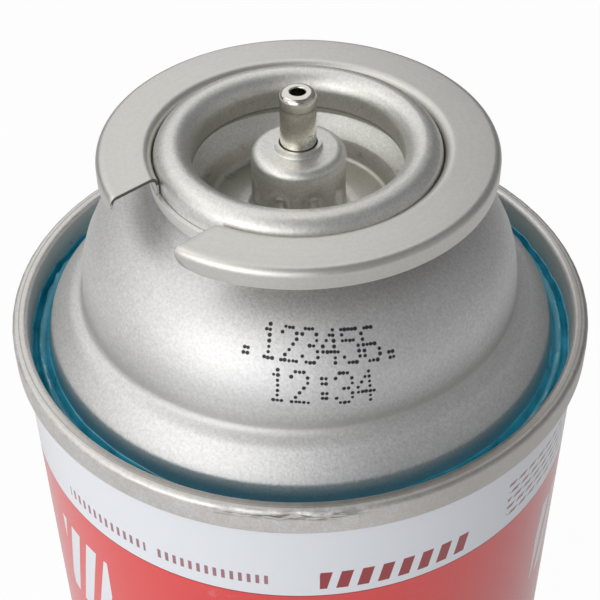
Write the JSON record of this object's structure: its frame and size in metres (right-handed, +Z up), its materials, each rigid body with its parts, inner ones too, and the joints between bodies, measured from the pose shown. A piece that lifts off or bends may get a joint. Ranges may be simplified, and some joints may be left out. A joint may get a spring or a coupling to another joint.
{
  "type": "fuel canister",
  "caption": "Cylindrical pressurised fuel can with seamed ends, domed shoulder, notched bayonet collar, crimped valve cup and a spring-loaded push stem.",
  "frame": {"origin": "middle of the rest plane, under the centre of the bottom seam", "axes": "+Z up along the can's axis, -Y towards the notch of the collar"},
  "size_m": [0.068, 0.068, 0.1868],
  "materials": {
    "tinplate": "matte silver tinplate with a fine grain",
    "printed_tinplate": "glossy lacquered print",
    "rim_sealant": "glossy teal sealant",
    "collar_steel": "satin",
    "cup_steel": "bright satin",
    "black_rubber": "matte",
    "white_plastic": "plain moulded",
    "plated_steel": "polished plating"
  },
  "bodies": {
    "canister": {"bottom_end": "tinplate", "can_body": "printed_tinplate", "top_dome": "tinplate", "rim_sealant": "rim_sealant", "collar_ring": "collar_steel", "mounting_cup": "cup_steel", "cup_seal": "black_rubber", "stem_gasket": "black_rubber", "valve_housing": "white_plastic", "valve_spring": "plated_steel", "gas_inlet_tube": "white_plastic"},
    "stem": {"valve_stem": "plated_steel"}
  },
  "joints": [
    {"name": "stem_press", "type": "slide", "parent": "canister", "child": "stem", "axis": [0, 0, 1], "range_m": [-0.002, 0], "stiffness_N_per_m": 5000, "springref_m": 0.002, "deforming": ["valve_spring"]}
  ]
}
